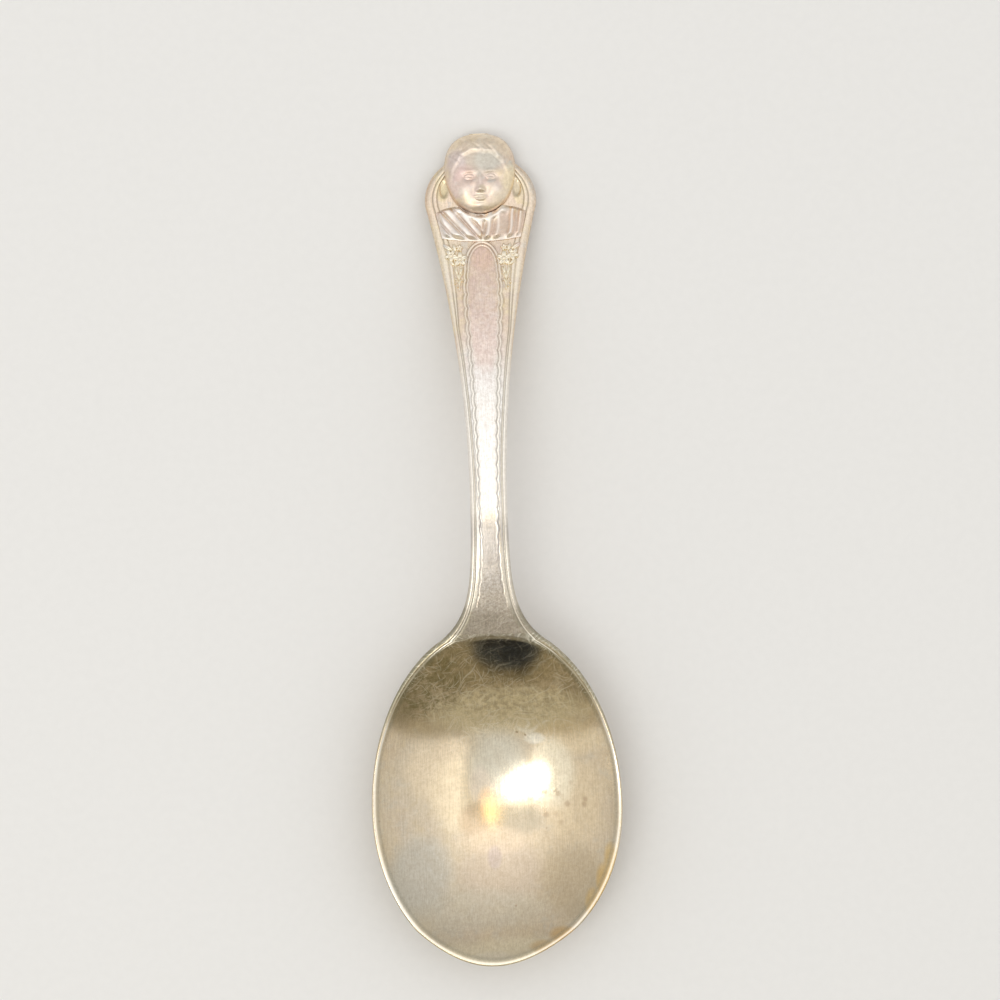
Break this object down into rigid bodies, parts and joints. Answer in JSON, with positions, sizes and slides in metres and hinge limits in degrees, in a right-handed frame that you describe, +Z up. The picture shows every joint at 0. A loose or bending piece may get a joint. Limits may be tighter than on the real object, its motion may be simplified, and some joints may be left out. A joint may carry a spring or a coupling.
{
  "type": "baby spoon",
  "caption": "Small silver-plated feeding spoon: oval bowl, arched and flared handle with threaded sides and a scalloped panel, and a child's head in relief at its end.",
  "frame": {"origin": "middle of the spoon's length and width, on the surface that it lies on", "axes": "+Y along the spoon from the toe of the bowl to the crown of the head, +Z up out of the bowl, +X to the right with the handle pointing away"},
  "size_m": [0.0324, 0.108, 0.012],
  "materials": {
    "bowl_silver": "worn silver plate, polished by use and finely scratched along its length",
    "stem_silver": "worn silver plate with warm toning and dark recesses",
    "relief_silver": "struck relief in silver plate, toned in the hollows"
  },
  "bodies": {
    "root": {"bowl": "bowl_silver", "stem": "stem_silver", "heel_drop": "stem_silver", "head": "relief_silver", "collar": "relief_silver", "name_panel": "stem_silver", "flower_spray_left": "relief_silver", "flower_spray_right": "relief_silver"}
  },
  "joints": []
}
